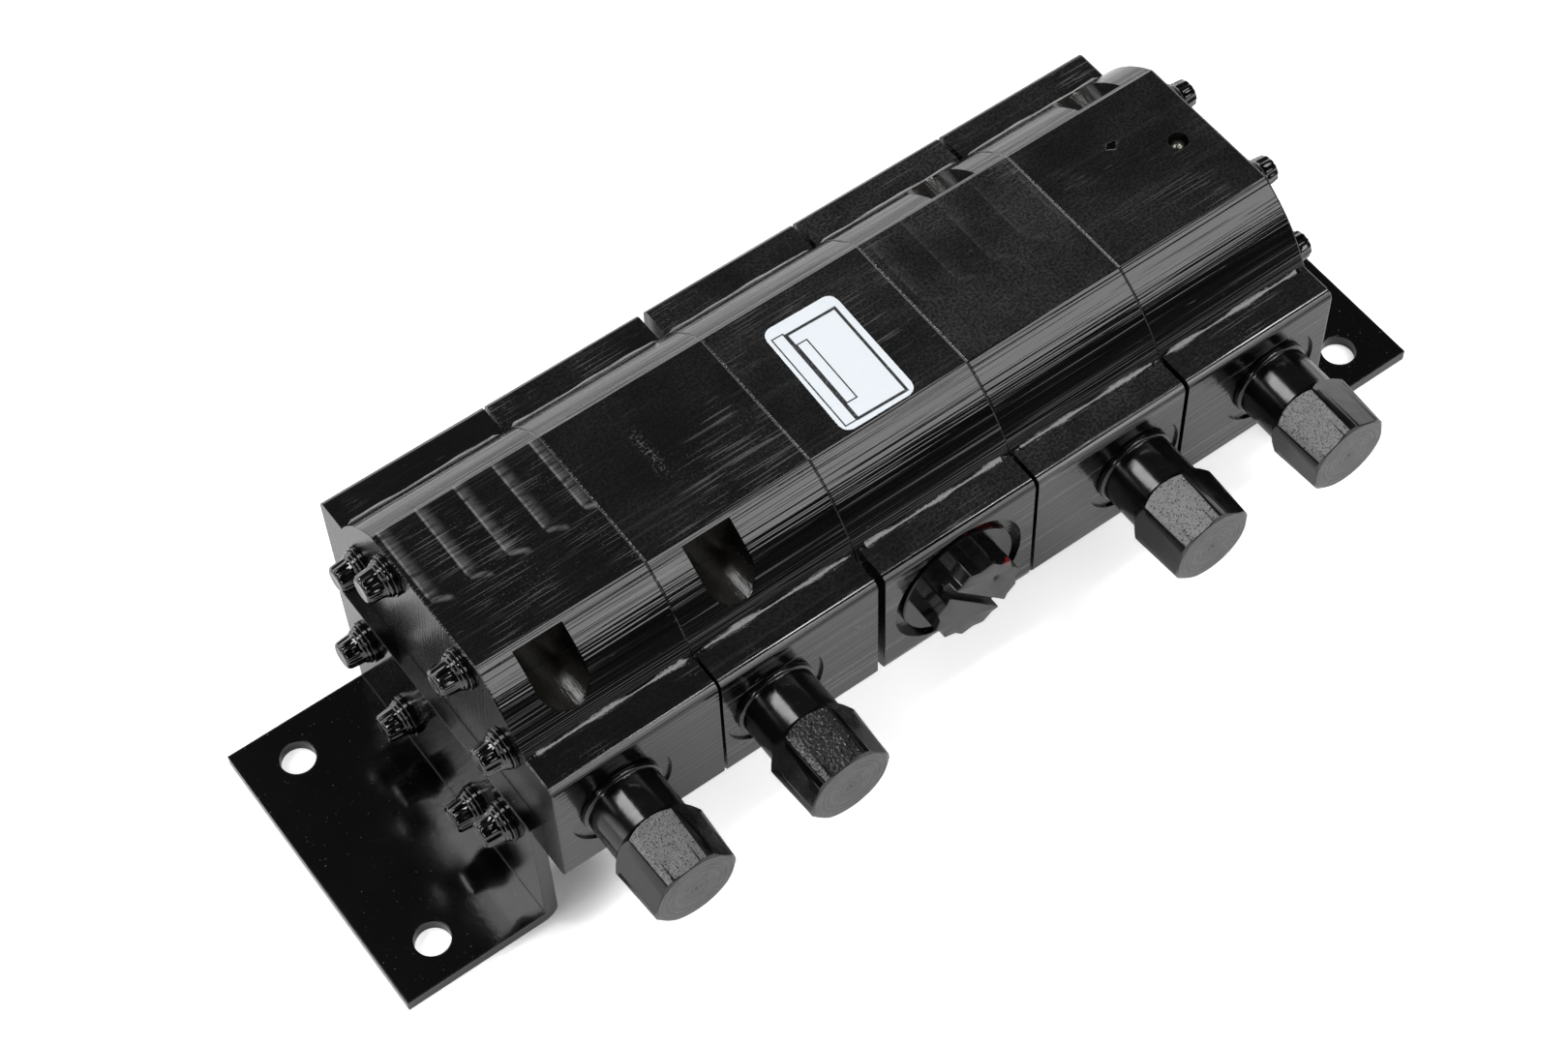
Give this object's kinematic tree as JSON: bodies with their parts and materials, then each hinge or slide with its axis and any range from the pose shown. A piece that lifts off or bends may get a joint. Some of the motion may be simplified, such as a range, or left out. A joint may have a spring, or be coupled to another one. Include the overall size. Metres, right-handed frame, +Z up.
{
  "type": "gear flow divider",
  "caption": "Black painted gear flow divider: clamped geared sections with a common shaft, hex-capped relief valves, a plugged centre inlet and angle feet",
  "frame": {"origin": "middle of the four foot holes, on the underside of the feet", "axes": "+X along the gear shafts towards the end with the ball plug, -Y towards the relief caps and the inlet, +Z up from the feet"},
  "size_m": [0.2842, 0.1148, 0.08],
  "materials": {
    "body_paint": "gloss black paint over extruded aluminium, with fine drawing lines along the body",
    "bracket_paint": "semi-gloss black paint over steel plate",
    "cap_paint": "gloss black paint over turned hexagon steel",
    "bolt_paint": "thick gloss black paint over steel fasteners",
    "plug_plastic": "moulded red plastic under black overspray",
    "ball_steel": "hardened ball, partly painted over",
    "bearing_bronze": "fine-bored bearing bronze",
    "gear_steel": "ground case-hardened steel",
    "shaft_steel": "ground steel",
    "valve_steel": "turned hardened steel",
    "spring_steel": "oiled spring wire",
    "seal_rubber": "matt nitrile rubber"
  },
  "bodies": {
    "housing": {"left_end_housing": "body_paint", "left_inner_housing": "body_paint", "centre_inlet_block": "body_paint", "right_inner_housing": "body_paint", "right_end_housing": "body_paint", "left_foot_bracket": "bracket_paint", "right_foot_bracket": "bracket_paint", "left_end_outer_bearing": "bearing_bronze", "left_end_inner_bearing": "bearing_bronze", "left_inner_outer_bearing": "bearing_bronze", "left_inner_inner_bearing": "bearing_bronze", "right_inner_outer_bearing": "bearing_bronze", "right_inner_inner_bearing": "bearing_bronze", "right_end_outer_bearing": "bearing_bronze", "right_end_inner_bearing": "bearing_bronze", "section_seals": "seal_rubber", "gallery_o_rings": "seal_rubber", "cap_o_rings": "seal_rubber", "dowel_pins": "shaft_steel", "left_end_relief_cap": "cap_paint", "left_end_relief_spring": "spring_steel", "left_end_relief_seat": "valve_steel", "left_inner_relief_cap": "cap_paint", "left_inner_relief_spring": "spring_steel", "left_inner_relief_seat": "valve_steel", "right_inner_relief_cap": "cap_paint", "right_inner_relief_spring": "spring_steel", "right_inner_relief_seat": "valve_steel", "right_end_relief_cap": "cap_paint", "right_end_relief_spring": "spring_steel", "right_end_relief_seat": "valve_steel", "ball_plug": "ball_steel", "left_tie_bolts": "bolt_paint", "right_tie_bolts": "bolt_paint", "left_washers": "bolt_paint", "right_washers": "bolt_paint"},
    "drive_train": {"common_drive_shaft": "shaft_steel", "gear_keys": "shaft_steel", "left_end_drive_gear": "gear_steel", "left_inner_drive_gear": "gear_steel", "right_inner_drive_gear": "gear_steel", "right_end_drive_gear": "gear_steel"},
    "left_end_idler": {"left_end_idler_gear": "gear_steel"},
    "left_inner_idler": {"left_inner_idler_gear": "gear_steel"},
    "right_inner_idler": {"right_inner_idler_gear": "gear_steel"},
    "right_end_idler": {"right_end_idler_gear": "gear_steel"},
    "left_end_poppet": {"left_end_relief_poppet": "valve_steel"},
    "left_inner_poppet": {"left_inner_relief_poppet": "valve_steel"},
    "right_inner_poppet": {"right_inner_relief_poppet": "valve_steel"},
    "right_end_poppet": {"right_end_relief_poppet": "valve_steel"},
    "inlet_plug": {"inlet_plug": "plug_plastic", "inlet_plug_o_ring": "seal_rubber"}
  },
  "joints": [
    {"name": "drive_turn", "type": "hinge", "parent": "housing", "child": "drive_train", "pos_m": [0, 0, 0.0575], "axis": [1, 0, 0], "continuous": true},
    {"name": "left_end_idler_turn", "type": "hinge", "parent": "housing", "child": "left_end_idler", "pos_m": [-0.0755, 0, 0.0335], "axis": [1, 0, 0], "continuous": true},
    {"name": "left_inner_idler_turn", "type": "hinge", "parent": "housing", "child": "left_inner_idler", "pos_m": [-0.0341, 0, 0.0335], "axis": [1, 0, 0], "continuous": true},
    {"name": "right_inner_idler_turn", "type": "hinge", "parent": "housing", "child": "right_inner_idler", "pos_m": [0.0341, 0, 0.0335], "axis": [1, 0, 0], "continuous": true},
    {"name": "right_end_idler_turn", "type": "hinge", "parent": "housing", "child": "right_end_idler", "pos_m": [0.0755, 0, 0.0335], "axis": [1, 0, 0], "continuous": true},
    {"name": "left_end_relief_lift", "type": "slide", "parent": "housing", "child": "left_end_poppet", "axis": [0, -1, 0], "range_m": [0, 0.0025], "stiffness_N_per_m": 2000, "deforming": ["left_end_relief_spring"]},
    {"name": "left_inner_relief_lift", "type": "slide", "parent": "housing", "child": "left_inner_poppet", "axis": [0, -1, 0], "range_m": [0, 0.0025], "stiffness_N_per_m": 2000, "deforming": ["left_inner_relief_spring"]},
    {"name": "right_inner_relief_lift", "type": "slide", "parent": "housing", "child": "right_inner_poppet", "axis": [0, -1, 0], "range_m": [0, 0.0025], "stiffness_N_per_m": 2000, "deforming": ["right_inner_relief_spring"]},
    {"name": "right_end_relief_lift", "type": "slide", "parent": "housing", "child": "right_end_poppet", "axis": [0, -1, 0], "range_m": [0, 0.0025], "stiffness_N_per_m": 2000, "deforming": ["right_end_relief_spring"]},
    {"name": "inlet_plug_removal", "type": "slide", "parent": "housing", "child": "inlet_plug", "axis": [0, -1, 0], "range_m": [0, 0.03]}
  ],
  "couplings": [
    {"joint": "left_end_idler_turn", "follows": "drive_turn", "ratio": -1},
    {"joint": "left_inner_idler_turn", "follows": "drive_turn", "ratio": -1},
    {"joint": "right_inner_idler_turn", "follows": "drive_turn", "ratio": -1},
    {"joint": "right_end_idler_turn", "follows": "drive_turn", "ratio": -1}
  ]
}
